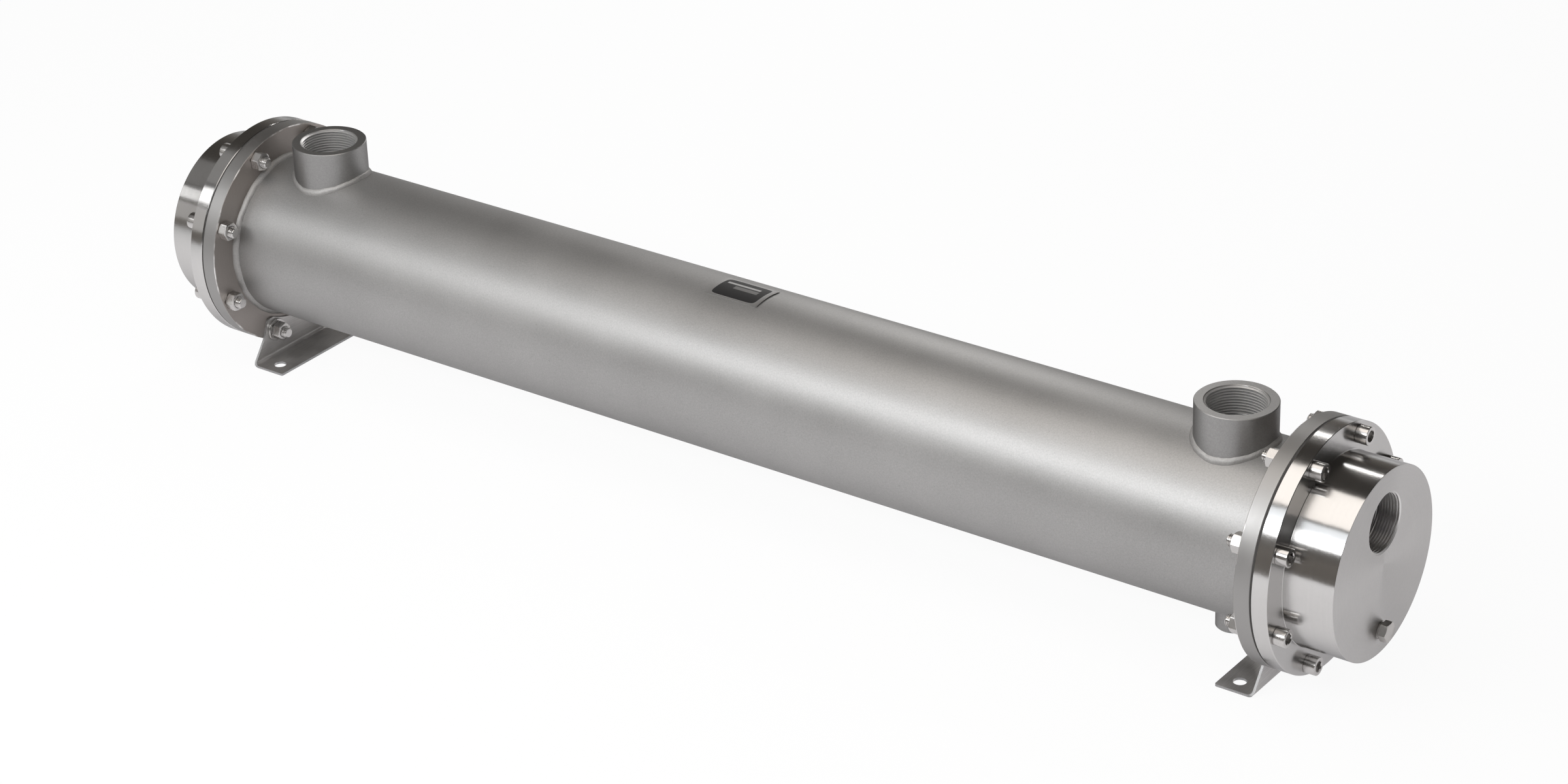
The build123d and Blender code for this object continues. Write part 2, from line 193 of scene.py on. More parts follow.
# Finishes: scales are in waves a metre, a bump is its strength and its distance, limits are where
# a mask or a mix starts and ends, and pairs of shares multiply a finish's own tone or roughness
noise_middle = (0.3, 0.7)
speckle_detail_roughness = 0.65
blasted_speckle_scale = 850
blasted_cloud_scale = 9
blasted_cloud_weight = 0.7
blasted_mix_limits = (0.5, 1.2)
blasted_tone_shares = (0.84, 1.16)
blasted_roughness_reach = 0.03
blasted_bump = (0.6, 0.07 * MM)
blasted_edge_tint = 0.4
pit_scale = 480
pit_limits = (0.72, 0.8)
pit_strength = 0.35
pit_tone_share = 0.6
groove_scale = 2600
groove_detail_roughness = 0.75
groove_bump = (0.3, 0.015 * MM)
lathe_ring_scale = 420
lathe_ring_detail_roughness = 0.6
lathe_ring_weight = 0.3
turned_cloud_scale = 26
turned_cloud_weight = 0.35
turned_speckle_scale = 650
turned_speckle_weight = 0.35
turned_tone_shares = (0.94, 1.05)
turned_roughness_shares = (0.8, 1.25)
turned_wave_scale = 45
turned_wave_bump = (1.0, 0.16 * MM)
turned_edge_tint = 0.6
across_grooves = 0.25
end_face_limits = (half_gap + end_face - 0.3 * MM, half_gap + end_face - 0.1 * MM)
# Painted shade on the tube sheet's inner face, where the shell shades it and is mirrored in it
painted_shade_face_limits = (half_gap + 0.05 * MM, half_gap + 0.4 * MM)
# Lighter patches along the rim's edge of the inner face: partly wear and partly a painted
# highlight where the chamfer catches the light
wear_and_highlight_depth_limits = (half_gap + 0.5 * MM, half_gap + 0.8 * MM)
wear_and_highlight_rim_limits = (flange_radius - 1.3 * MM, flange_radius - 0.8 * MM)
wear_and_highlight_patch_scale = 38
wear_and_highlight_patch_limits = (0.52, 0.6)
wear_and_highlight_tone = 0.85
worn_roughness = 0.3
grain_detail_roughness = 0.6
plain_cloud_scale = 60
plain_tone_shares = (0.88, 1.1)
plain_roughness_shares = (0.75, 1.3)
plain_bump_distance = 0.03 * MM
brushing_stretch = 0.05
brushing_scale = 1100
brushing_detail_roughness = 0.7
brushing_weight = 0.5
brushing_bump = (0.35, 0.03 * MM)
brushed_cloud_scale = 45
brushed_tone_shares = (0.8, 1.15)
brushed_roughness_shares = (0.85, 1.2)
cut_side_limits = (0.2, 0.3)
cut_end_limits = (foot_inner_x + 0.05 * MM, foot_inner_x + 0.3 * MM)
cut_tones = (0.3, 0.6)
cut_roughness_rise = 0.12
gasket_fibre_scale = 700
gasket_dark = (0.028, 0.026, 0.025, 1)
gasket_light = (0.06, 0.056, 0.053, 1)
gasket_roughness = 0.75
gasket_bump = (0.4, 0.1 * MM)
plate_wear_scale = 420
plate_black = (0.006, 0.006, 0.007, 1)
plate_black_worn = (0.02, 0.019, 0.019, 1)
plate_grey_print = (0.12, 0.118, 0.115, 1)
plate_bright_print = (0.33, 0.325, 0.32, 1)
plate_border_tone = 0.42
plate_border_warmth = 0.01
plate_roughness_range = (0.4, 0.62)
plate_specular_level = 0.3

# Machined bores: the axis, a point on it and the radius that the bore's own finish reaches
bore_blend = 0.3 * MM
bore_reach = 1.5 * MM
bore_roughness = 0.36
bore_metallic = 0.75
nozzle_bore_tone = 0.62
port_bore_tone = 0.85
nozzle_bore = ("Z", (nozzle_x, 0, 0), nozzle_bore_radius + bore_reach)
drain_bore = ("Z", (drain_x, 0, 0), drain_bore_radius + bore_reach)
port_bore = ("X", (0, 0, axis_height + port_height), port_bore_radius + bore_reach)


class Solid:
    """A closed mesh put together from sheets and flat fills whose borders meet."""

    def __init__(self):
        self.points = []
        self.faces = []

    def sheet(self, rows, closed=True):
        """Quads between rows of points. A closed row runs back to its first point."""
        start = len(self.points)
        count = len(rows[0])
        for row in rows:
            self.points.extend(row)
        columns = count if closed else count - 1
        for upper in range(len(rows) - 1):
            for column in range(columns):
                near = start + upper * count + column
                far = start + upper * count + (column + 1) % count
                self.faces.append((near, far, far + count, near + count))

    def turn(self, profile, steps, centre=(0, 0)):
        """Quads swept round the local Z axis from pairs of radius and height."""
        self.sheet([ring(radius, height, steps, centre) for radius, height in profile])

    def fill(self, rings):
        """A flat face inside the first ring, with the other rings as holes."""
        flat = bmesh.new()
        for border in rings:
            corners = [flat.verts.new(point) for point in border]
            for number, corner in enumerate(corners):
                flat.edges.new((corner, corners[(number + 1) % len(corners)]))
        bmesh.ops.triangle_fill(flat, edges=flat.edges[:], use_beauty=True)
        flat.verts.index_update()
        start = len(self.points)
        self.points.extend(corner.co.copy() for corner in flat.verts)
        for face in flat.faces:
            self.faces.append(tuple(start + corner.index for corner in face.verts))
        flat.free()

    def add(self, other, place):
        """A copy of another solid, moved by a matrix."""
        start = len(self.points)
        self.points.extend(place @ Vector(point) for point in other.points)
        self.faces.extend(tuple(start + index for index in face) for face in other.faces)

    def piece(self, name, material, node, slot):
        """Makes the object, riding on the part and standing for its CAD node."""
        mesh = bpy.data.meshes.new(name)
        mesh.from_pydata([tuple(point) for point in self.points], [], self.faces)
        joined = bmesh.new()
        joined.from_mesh(mesh)
        bmesh.ops.remove_doubles(joined, verts=joined.verts[:], dist=MERGE_DISTANCE)
        bmesh.ops.dissolve_degenerate(joined, dist=MERGE_DISTANCE, edges=joined.edges[:])
        bmesh.ops.recalc_face_normals(joined, faces=joined.faces[:])
        joined.to_mesh(mesh)
        joined.free()
        mesh.shade_smooth()
        mesh.set_sharp_from_angle(angle=SHARP_ANGLE)
        mesh.materials.append(material)
        thing = bpy.data.objects.new(name, mesh)
        bpy.context.scene.collection.objects.link(thing)
        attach(thing, "root")
        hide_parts(node)


def on_circle(reach, angle, height, centre):
    """A point at a reach and an angle round a centre, across the local Z axis."""
    return Vector((
        centre[0] + reach * math.cos(angle), centre[1] + reach * math.sin(angle), height,
    ))


def ring(radius, height, steps, centre=(0, 0)):
    """A circle across the local Z axis; radius and height may be functions of the angle."""
    points = []
    for step in range(steps):
        angle = TURN * step / steps
        reach = radius(angle) if callable(radius) else radius
        rise = height(angle) if callable(height) else height
        points.append(on_circle(reach, angle, rise, centre))
    return points


def rounded(start, corner, end, steps=3):
    """Profile points from start to end that bend round the corner, as a quadratic curve."""
    points = []
    for step in range(steps + 1):
        share = step / steps
        points.append(tuple(
            a * (1 - share) ** 2 + 2 * b * share * (1 - share) + c * share ** 2
            for a, b, c in zip(start, corner, end)
        ))
    return points


def hexagon(across_flats):
    """Radius of a hexagon with slightly dulled corners, as a function of the angle."""
    limit = across_flats / 2 / math.cos(TURN / 12) * hex_corner_share

    def radius(angle):
        from_flat = angle % (TURN / 6) - TURN / 12
        return min(across_flats / 2 / math.cos(from_flat), limit)

    return radius


def thread_wave(phase):
    """Rounded ridge from 0 at the valley to 1 at the crest, once for each whole phase."""
    ramp = abs(2 * (phase % 1) - 1)
    ramp = min(1, max(0, (ramp - thread_flat) / (1 - 2 * thread_flat)))
    return ramp * ramp * (3 - 2 * ramp)


def thread_rows(radius_at, pitch, low, high, steps, centre=(0, 0)):
    """Rows of points that follow a helix between two heights, cut off flat at both."""
    row_rise = pitch / ROWS_PER_PITCH
    first = math.floor((low - pitch) / row_rise)
    last = math.ceil(high / row_rise)
    rows = []
    for row in range(first, last + 1):
        points = []
        for step in range(steps + 1):
            turn_share = step / steps
            height = min(high, max(low, row * row_rise + pitch * turn_share))
            reach = radius_at(height, height / pitch - turn_share)
            points.append(on_circle(reach, TURN * turn_share, height, centre))
        rows.append(points)
    return rows


def female_thread(crest_radius, depth, pitch, low, high, chamfer, steps, centre=(0, 0)):
    """A threaded bore that runs out at its low end and opens into a chamfer at its high end."""
    def radius_at(height, phase):
        fade = min(1, max(0, (height - low) / pitch))
        mouth = crest_radius + chamfer - mouth_slope * (high - height)
        return max(crest_radius + depth * fade * thread_wave(phase), mouth)

    return thread_rows(radius_at, pitch, low, high, steps, centre)


def male_thread(crest_radius, depth, pitch, low, high, fade_length, tip_chamfer, steps):
    """A threaded shank that ends in a chamfer at its low end and starts plain at its high end."""
    def radius_at(height, phase):
        fade = min(1, max(0, (high - height) / fade_length))
        ridge = crest_radius - depth * fade * (1 - thread_wave(phase))
        return min(ridge, crest_radius - tip_chamfer + (height - low))

    return thread_rows(radius_at, pitch, low, high, steps)


def axial(sign, outward=0):
    """Local Z along the shell axis, outward from a tube sheet's inner face."""
    place = Matrix(((0, 0, sign), (sign, 0, 0), (0, 1, 0))).to_4x4()
    place.translation = (sign * (half_gap + outward), 0, axis_height)
    return place


def upright(x, upward=1):
    """Local Z up or down from the shell axis at a place along it."""
    place = Matrix(((1, 0, 0), (0, upward, 0), (0, 0, upward))).to_4x4()
    place.translation = (x, 0, axis_height)
    return place


def bolt_centre(angle):
    """Place of a head bolt across the shell axis."""
    return (bolt_circle_radius * math.cos(angle), bolt_circle_radius * math.sin(angle))


# Node helpers for the materials

def new_material(name):
    """An empty node material with its principled shader."""
    material = bpy.data.materials.new(name)
    material.use_nodes = True
    tree = material.node_tree
    return material, tree, tree.nodes["Principled BSDF"]


def set_inputs(tree, made, inputs):
    """Inputs of a node, each as a value or as a link."""
    for key, value in inputs.items():
        if isinstance(value, bpy.types.NodeSocket):
            tree.links.new(value, made.inputs[key])
        else:
            made.inputs[key].default_value = value


def node(tree, kind, inputs=None, **settings):
    """A new node with its settings and its inputs."""
    made = tree.nodes.new(kind)
    for key, value in settings.items():
        setattr(made, key, value)
    set_inputs(tree, made, inputs or {})
    return made


def noise(tree, place, scale, detail=3.0, roughness=0.5):
    """Noise over the part's own coordinates, from 0 to 1."""
    made = node(tree, "ShaderNodeTexNoise", {
        "Vector": place, "Scale": scale, "Detail": detail, "Roughness": roughness,
    })
    return made.outputs["Fac"]


def spread(tree, value, low, high, start=0.0, stop=1.0):
    """Value mapped from start..stop to low..high."""
    made = node(tree, "ShaderNodeMapRange", {
        "Value": value, "From Min": start, "From Max": stop, "To Min": low, "To Max": high,
    })
    return made.outputs["Result"]


def rising(tree, value, limits):
    """0 up to the first limit, 1 from the second one on, and a ramp between them."""
    return spread(tree, value, 0, 1, *limits)


def falling(tree, value, limits):
    """1 up to the first limit, 0 from the second one on, and a ramp between them."""
    return spread(tree, value, 1, 0, *limits)


def math_node(tree, operation, first, second=0.0, third=0.0, clamp=False):
    """One step of arithmetic."""
    made = node(tree, "ShaderNodeMath", {0: first, 1: second, 2: third}, operation=operation,
                use_clamp=clamp)
    return made.outputs[0]


def product(tree, first, second):
    """One value times another."""
    return math_node(tree, "MULTIPLY", first, second)


def distance_from_zero(tree, first, second):
    """Distance of a flat point from zero."""
    squares = math_node(tree, "MULTIPLY_ADD", first, first, product(tree, second, second))
    return math_node(tree, "SQRT", squares)


def split(tree, vector):
    """The X, Y and Z of a vector."""
    return node(tree, "ShaderNodeSeparateXYZ", {0: vector}).outputs


def blend_colour(tree, share, first, second):
    """Mix of two colours by a share."""
    made = node(tree, "ShaderNodeMix", {0: share, 6: first, 7: second}, data_type="RGBA")
    return made.outputs[2]


def bump(tree, height, strength, distance, under=None):
    """A normal bent by a height, over another bent normal where one is given."""
    inputs = {"Height": height, "Strength": strength, "Distance": distance}
    if under is not None:
        inputs["Normal"] = under
    return node(tree, "ShaderNodeBump", inputs).outputs["Normal"]


def grey(value, warmth=0.0):
    """A metal colour: a grey with a little more red and less blue for warmth."""
    return (value * (1 + warmth), value, value * (1 - warmth), 1)


def greys(tone, shares, warmth):
    """Two metal colours, as shares of a tone."""
    return [grey(tone * share, warmth) for share in shares]


def share_pair(value, shares):
    """Two values, as shares of one."""
    return [value * share for share in shares]


def object_place(tree):
    """The part's own coordinates in metres."""
    return tree.nodes.new("ShaderNodeTexCoord").outputs["Object"]


def bore_share(tree, place, axis, centre, radius):
    """1 within a radius of an axis through the centre, and 0 outside it.

    The centre's X is matched on both sides of the part's middle.
    """
    parts = split(tree, place)
    along_x = math_node(tree, "ABSOLUTE", parts["X"])
    offsets = {
        "X": math_node(tree, "SUBTRACT", along_x, centre[0]),
        "Y": math_node(tree, "SUBTRACT", parts["Y"], centre[1]),
        "Z": math_node(tree, "SUBTRACT", parts["Z"], centre[2]),
    }
    first, second = (offset for letter, offset in offsets.items() if letter != axis)
    distance = distance_from_zero(tree, first, second)
    return falling(tree, distance, (radius - bore_blend, radius + bore_blend))


def blasted_steel(name, tone, warmth, roughness, metallic, bore=None):
    """Bead-blasted stainless steel: fine speckle, faint clouding, satin sheen, and clean bores."""
    material, tree, shader = new_material(name)
    place = object_place(tree)
    speckle = noise(tree, place, blasted_speckle_scale, roughness=speckle_detail_roughness)
    clouds = noise(tree, place, blasted_cloud_scale, detail=4.0)
    mottle = math_node(tree, "MULTIPLY_ADD", clouds, blasted_cloud_weight, speckle)
    shade = rising(tree, mottle, blasted_mix_limits)
    colour = blend_colour(tree, shade, *greys(tone, blasted_tone_shares, warmth))
    pit_noise = noise(tree, place, pit_scale, detail=1.0)
    pits = spread(tree, pit_noise, 0, pit_strength, *pit_limits)
    colour = blend_colour(tree, pits, colour, grey(tone * pit_tone_share, warmth))
    rough = spread(tree, clouds, roughness - blasted_roughness_reach,
                   roughness + blasted_roughness_reach, *noise_middle)
    if bore:
        machined = bore_share(tree, place, *bore)
        colour = blend_colour(tree, machined, colour, grey(nozzle_bore_tone, warmth))
        rough = spread(tree, machined, rough, bore_roughness)
        metallic = spread(tree, machined, metallic, bore_metallic)
    set_inputs(tree, shader, {
        "Base Color": colour, "Metallic": metallic, "Roughness": rough,
        "Specular Tint": grey(blasted_edge_tint), "Normal": bump(tree, speckle, *blasted_bump),
    })
    return material


def turned_steel(name, tone, warmth, roughness, anisotropy, bore=None, end_roughness=None,
                 inner_face_painted_shade=None):
    """Steel turned on a lathe: fine grooves round the shell axis, on rims and on flat ends."""
    material, tree, shader = new_material(name)
    place = object_place(tree)
    parts = split(tree, place)
    along = math_node(tree, "ABSOLUTE", parts["X"])
    height = math_node(tree, "SUBTRACT", parts["Z"], axis_height)
    out = distance_from_zero(tree, height, parts["Y"])
    lathe_place = node(tree, "ShaderNodeCombineXYZ", {
        0: math_node(tree, "ADD", along, out), 1: 0.0, 2: 0.0,
    }).outputs[0]
    grooves = noise(tree, lathe_place, groove_scale, 4.0, groove_detail_roughness)
    rings = noise(tree, lathe_place, lathe_ring_scale, roughness=lathe_ring_detail_roughness)
    clouds = noise(tree, place, turned_cloud_scale, detail=4.0)
    speckle = noise(tree, place, turned_speckle_scale, roughness=speckle_detail_roughness)
    fine = math_node(tree, "MULTIPLY_ADD", speckle, turned_speckle_weight,
                     product(tree, rings, lathe_ring_weight))
    mottle = math_node(tree, "MULTIPLY_ADD", clouds, turned_cloud_weight, fine)
    shade = rising(tree, mottle, noise_middle)
    colour = blend_colour(tree, shade, *greys(tone, turned_tone_shares, warmth))
    rough = spread(tree, mottle, *share_pair(roughness, turned_roughness_shares), *noise_middle)
    if end_roughness:
        rough = spread(tree, rising(tree, along, end_face_limits), rough, end_roughness)
    if bore:
        machined = bore_share(tree, place, *bore)
        colour = blend_colour(tree, machined, colour, grey(port_bore_tone, warmth))
        rough = spread(tree, machined, rough, bore_roughness)
    # Painted shade: the tube sheet's inner face is darker, for the shell's shadow and its dark
    # reflection there
    if inner_face_painted_shade:
        colour = blend_colour(tree, falling(tree, along, painted_shade_face_limits), colour, inner_face_painted_shade)
        # Patches along the rim's edge are lighter: partly wear and partly a painted highlight
        # where the chamfer catches the light
        near_edge = product(tree, falling(tree, along, wear_and_highlight_depth_limits),
                            rising(tree, out, wear_and_highlight_rim_limits))
        patches = rising(tree, noise(tree, place, wear_and_highlight_patch_scale), wear_and_highlight_patch_limits)
        wear_and_highlight = product(tree, near_edge, patches)
        colour = blend_colour(tree, wear_and_highlight, colour, grey(wear_and_highlight_tone, warmth))
        rough = spread(tree, wear_and_highlight, rough, worn_roughness)
    waves = bump(tree, noise(tree, place, turned_wave_scale, detail=2.0), *turned_wave_bump)
    round_axis = node(tree, "ShaderNodeTangent", direction_type="RADIAL", axis="X")
    set_inputs(tree, shader, {
        "Base Color": colour, "Metallic": 1.0, "Roughness": rough,
        "Anisotropic": anisotropy, "Anisotropic Rotation": across_grooves,
        "Tangent": round_axis.outputs[0], "Specular Tint": grey(turned_edge_tint),
        "Normal": bump(tree, grooves, *groove_bump, under=waves),
    })
    return material


def plain_metal(name, tone, warmth, roughness, grain_scale, grain_strength):
    """Machined or rolled metal with small uneven grain and smudges."""
    material, tree, shader = new_material(name)
    place = object_place(tree)
    grain = noise(tree, place, grain_scale, roughness=grain_detail_roughness)
    clouds = noise(tree, place, plain_cloud_scale)
    set_inputs(tree, shader, {
        "Base Color": blend_colour(tree, clouds, *greys(tone, plain_tone_shares, warmth)),
        "Metallic": 1.0,
        "Roughness": spread(tree, clouds, *share_pair(roughness, plain_roughness_shares),
                            *noise_middle),
        "Normal": bump(tree, grain, grain_strength, plain_bump_distance),
    })
    return material


def sheet_metal(name, tone, warmth, roughness):
    """Cold-rolled sheet brushed across, with its own tone on the edges where it was cut."""
    material, tree, shader = new_material(name)
    place = object_place(tree)
    parts = split(tree, place)
    stretched = node(tree, "ShaderNodeCombineXYZ", {
        0: parts["X"], 1: product(tree, parts["Y"], brushing_stretch), 2: parts["Z"],
    }).outputs[0]
    streaks = noise(tree, stretched, brushing_scale, roughness=brushing_detail_roughness)
    clouds = noise(tree, place, brushed_cloud_scale, detail=4.0)
    mottle = math_node(tree, "MULTIPLY_ADD", streaks, brushing_weight,
                       product(tree, clouds, 1 - brushing_weight))
    shade = rising(tree, mottle, noise_middle)
    colour = blend_colour(tree, shade, *greys(tone, brushed_tone_shares, warmth))
    facing = split(tree, tree.nodes.new("ShaderNodeNewGeometry").outputs["True Normal"])
    cut_side = rising(tree, math_node(tree, "ABSOLUTE", facing["Y"]), cut_side_limits)
    cut_end = falling(tree, math_node(tree, "ABSOLUTE", parts["X"]), cut_end_limits)
    cut = math_node(tree, "MAXIMUM", cut_side, cut_end)
    cut_colour = blend_colour(tree, streaks, *(grey(cut_tone) for cut_tone in cut_tones))
    rough = spread(tree, clouds, *share_pair(roughness, brushed_roughness_shares), *noise_middle)
    set_inputs(tree, shader, {
        "Base Color": blend_colour(tree, cut, colour, cut_colour),
        "Metallic": 1.0,
        "Roughness": math_node(tree, "MULTIPLY_ADD", cut, cut_roughness_rise, rough),
        "Normal": bump(tree, streaks, *brushing_bump),
    })
    return material


def gasket_material():
    """Dark compressed fibre with a fine grain."""
    material, tree, shader = new_material("gasket_fibre")
    fibre = noise(tree, object_place(tree), gasket_fibre_scale)
    set_inputs(tree, shader, {
        "Base Color": blend_colour(tree, fibre, gasket_dark, gasket_light),
        "Roughness": gasket_roughness,
        "Normal": bump(tree, fibre, *gasket_bump),
    })
    return material


def plate_material():
    """Bare metal border round a black printed field with empty lighter strips."""
    material, tree, shader = new_material("plate_metal")
    place = object_place(tree)
    parts = split(tree, place)
    middle = (plate_low.x + plate_high.x) / 2
    along = math_node(tree, "SUBTRACT", parts["X"], middle)
    across = parts["Y"]

    def inside(value, low, high):
        above = rising(tree, value, (low - plate_print_blur, low + plate_print_blur))
        below = falling(tree, value, (high - plate_print_blur, high + plate_print_blur))
        return product(tree, above, below)

    def box(x_low, x_high, y_low, y_high):
        return product(tree, inside(along, x_low, x_high), inside(across, y_low, y_high))

    def rounded_box(x_low, x_high, y_low, y_high):
        powers = []
        for value, low, high in ((along, x_low, x_high), (across, y_low, y_high)):
            centred = spread(tree, value, -1, 1, low, high)
            centred.node.clamp = False
            size = math_node(tree, "ABSOLUTE", centred)
            powers.append(math_node(tree, "POWER", size, plate_corner_power))
        return falling(tree, math_node(tree, "ADD", *powers), plate_corner_limits)

    field = rounded_box(*plate_field_box)
    wear = noise(tree, place, plate_wear_scale, detail=4.0)
    printed = blend_colour(tree, wear, plate_black, plate_black_worn)
    printed = blend_colour(tree, box(*plate_grey_box), printed, plate_grey_print)
    printed = blend_colour(tree, box(*plate_bright_box), printed, plate_bright_print)
    border = grey(plate_border_tone, plate_border_warmth)
    set_inputs(tree, shader, {
        "Base Color": blend_colour(tree, field, border, printed),
        "Metallic": math_node(tree, "SUBTRACT", 1.0, field),
        "Roughness": spread(tree, wear, *plate_roughness_range),
        "Specular IOR Level": plate_specular_level,
    })
    return material


shell_steel = blasted_steel("shell_steel", tone=0.435, warmth=0.01, roughness=0.5, metallic=0.88)
nozzle_steel = blasted_steel("nozzle_steel", tone=0.37, warmth=0.01, roughness=0.42,
                             metallic=0.95, bore=nozzle_bore)
drain_steel = blasted_steel("drain_steel", tone=0.36, warmth=0.01, roughness=0.44,
                            metallic=0.95, bore=drain_bore)
weld_steel = blasted_steel("weld_steel", tone=0.4, warmth=0.02, roughness=0.58, metallic=0.85)
# The tube sheets' inner face colour is painted shade
sheet_steel = turned_steel("sheet_steel", tone=0.42, warmth=0.014, roughness=0.48,
                           anisotropy=0.2, inner_face_painted_shade=(0.39, 0.36, 0.34, 1))
polished_steel = turned_steel("polished_steel", tone=0.66, warmth=0.012, roughness=0.19,
                              anisotropy=0.82, bore=port_bore, end_roughness=0.36)
fastener_steel = plain_metal("fastener_steel", tone=0.62, warmth=0.02, roughness=0.25,
                             grain_scale=1400, grain_strength=0.25)
nut_steel = plain_metal("nut_steel", tone=0.6, warmth=0.02, roughness=0.27,
                        grain_scale=1400, grain_strength=0.25)
plug_steel = plain_metal("plug_steel", tone=0.58, warmth=0.03, roughness=0.36,
                         grain_scale=900, grain_strength=0.35)
foot_steel = sheet_metal("foot_steel", tone=0.6, warmth=0.02, roughness=0.45)
tube_steel = plain_metal("tube_steel", tone=0.4, warmth=0.01, roughness=0.4,
                         grain_scale=700, grain_strength=0.3)
gasket_fibre = gasket_material()
plate_metal = plate_material()

# Nodes that show their own CAD meshes
kept_finishes = {
    "shell": shell_steel,
    "tube_sheet_left": sheet_steel, "tube_sheet_right": sheet_steel,
    "gasket_left": gasket_fibre, "gasket_right": gasket_fibre,
    "foot_left": foot_steel, "foot_right": foot_steel,
    "tube_bundle": tube_steel, "baffles": tube_steel, "tie_rods": tube_steel,
}
for name, material in kept_finishes.items():
    for material_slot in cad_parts[name].material_slots:
        material_slot.material = material


def saddle_height(radius, angle):
    """Height of the shell's surface over its axis, at a radius and an angle round a socket."""
    return math.sqrt(shell_radius ** 2 - (radius * math.sin(angle)) ** 2)


def threaded_socket(outer_radius, top, bore_radius, depth, pitch, thread_length, chamfer,
                    rim, steps):
    """A threaded socket set on the shell, its foot cut to the shell's round."""
    def saddle(radius):
        return lambda angle: saddle_height(radius, angle)

    thread_low = top - thread_length
    solid = Solid()
    solid.turn([
        (bore_radius, thread_low),
        (bore_radius, saddle(bore_radius)),
        (outer_radius, saddle(outer_radius)),
        (outer_radius, top - rim),
        (outer_radius - rim, top),
        (bore_radius + chamfer, top),
    ], steps)
    solid.sheet(female_thread(bore_radius, depth, pitch, thread_low, top, chamfer, steps),
                closed=False)
    return solid


def place_solid(solid, place):
    """The solid moved by a matrix."""
    moved = Solid()
    moved.add(solid, place)
    return moved


def drift(angle, start):
    """Slow wandering between -1 and 1 round a seam, as from an unsteady hand."""
    return sum(weight * math.sin(waves * angle + number * start)
               for number, (weight, waves) in enumerate(drift_waves, 1))


def bead(radius, leg, toes, leg_shares, ripple_height, ripple_pitch):
    """A weld bead swept round a seam, with the overlapping ripples that the torch leaves.

    The function toes gives, for an angle, a ray from the seam's root towards each of its edges.
    """
    upper_share, lower_share = leg_shares
    ripples = round(TURN * radius / ripple_pitch)
    steps = ripples * bead_samples_per_ripple
    sections = []
    for step in range(steps):
        angle = TURN * step / steps
        root, upper_ray, lower_ray = toes(angle)
        upper = root + upper_ray * leg * upper_share * (1 + bead_toe_drift * drift(angle, 1))
        lower = root + lower_ray * leg * lower_share * (1 + bead_toe_drift * drift(angle, 2))
        outward = (upper_ray + lower_ray).normalized()
        height = ripple_height * (1 + bead_height_drift * drift(angle, 3))
        section = []
        for column in range(bead_columns):
            share = column / (bead_columns - 1)
            arch = 4 * share * (1 - share)
            phase = (step / bead_samples_per_ripple + bead_chevron * arch
                     + bead_phase_drift * drift(angle, 4))
            wave = abs(math.sin(math.pi * phase)) - bead_ripple_sink
            ripple = height * arch ** bead_ripple_spread * wave
            swell = bead_crown_share * leg * arch + ripple
            section.append(upper.lerp(lower, share) + outward * swell)
        section.append(root - outward * bead_root_inset)
        sections.append(section)
    solid = Solid()
    solid.sheet(sections + [sections[0]])
    return solid


def nozzle_bead(radius, leg):
    """Bead round a socket on the shell, in the socket's upright frame."""
    def toes(angle):
        ray = Vector((math.cos(angle), math.sin(angle), 0))

        def on_shell(distance):
            return ray * distance + Vector((0, 0, saddle_height(distance, angle)))

        root = on_shell(radius)
        return root, Vector((0, 0, 1)), (on_shell(radius + leg) - root) / leg

    return bead(radius + leg / 2, leg, toes, nozzle_bead_shares, nozzle_ripple_height,
                nozzle_ripple_pitch)


def shell_bead(radius, leg):
    """Bead between the shell and a tube sheet, in the tube sheet's frame."""
    def toes(angle):
        ray = Vector((math.cos(angle), math.sin(angle), 0))
        return ray * radius, ray, Vector((0, 0, -1))

    return bead(radius + leg / 2, leg, toes, shell_bead_shares, shell_ripple_height,
                shell_ripple_pitch)


def head_solid():
    """Flange and body turned from one piece, hollow, with the threaded port and the plug hole."""
    flange_top = screw_seat
    cavity_floor = end_face - end_wall
    inner_rim = flange_radius - rim_chamfer
    holes = [bolt_centre(angle) for angle in bolt_angles]
    port = (0, port_height)
    plug = (0, -plug_depth)
    solid = Solid()
    solid.turn([
        (inner_rim, head_face),
        (flange_radius, head_face + rim_chamfer),
        (flange_radius, flange_top - rim_chamfer),
        (inner_rim, flange_top),
    ], ROUND_STEPS)
    solid.fill([
        ring(inner_rim, head_face, ROUND_STEPS),
        ring(cavity_radius, head_face, ROUND_STEPS),
        *(ring(bolt_hole_radius, head_face, SCREW_STEPS, hole) for hole in holes),
    ])
    root = rounded((body_radius + body_root_radius, flange_top), (body_radius, flange_top),
                   (body_radius, flange_top + body_root_radius))
    edge = rounded((body_radius, end_face - body_edge_radius), (body_radius, end_face),
                   (body_radius - body_edge_radius, end_face), steps=4)
    flange_inner = (root[0][0] + flat_margin, flange_top)
    end_outer = (edge[-1][0] - flat_margin, end_face)
    solid.fill([
        ring(inner_rim, flange_top, ROUND_STEPS),
        ring(*flange_inner, ROUND_STEPS),
        *(ring(bolt_hole_radius, flange_top, SCREW_STEPS, hole) for hole in holes),
    ])
    for hole in holes:
        solid.turn([(bolt_hole_radius, head_face), (bolt_hole_radius, flange_top)],
                   SCREW_STEPS, hole)
    solid.turn([flange_inner, *root, *edge, end_outer], ROUND_STEPS)
    solid.fill([
        ring(*end_outer, ROUND_STEPS),
        ring(port_bore_radius + port_chamfer, end_face, SMALL_STEPS, port),
        ring(plug_hole_radius, end_face, SCREW_STEPS, plug),
    ])
    solid.sheet(female_thread(port_bore_radius, pipe_thread_depth, pipe_pitch, cavity_floor,
                              end_face, port_chamfer, SMALL_STEPS, port), closed=False)
    solid.turn([(plug_hole_radius, cavity_floor), (plug_hole_radius, end_face)],
               SCREW_STEPS, plug)
    solid.fill([
        ring(cavity_radius, cavity_floor, ROUND_STEPS),
        ring(port_bore_radius, cavity_floor, SMALL_STEPS, port),
        ring(plug_hole_radius, cavity_floor, SCREW_STEPS, plug),
    ])
    solid.turn([(cavity_radius, head_face), (cavity_radius, cavity_floor)], ROUND_STEPS)
    return solid


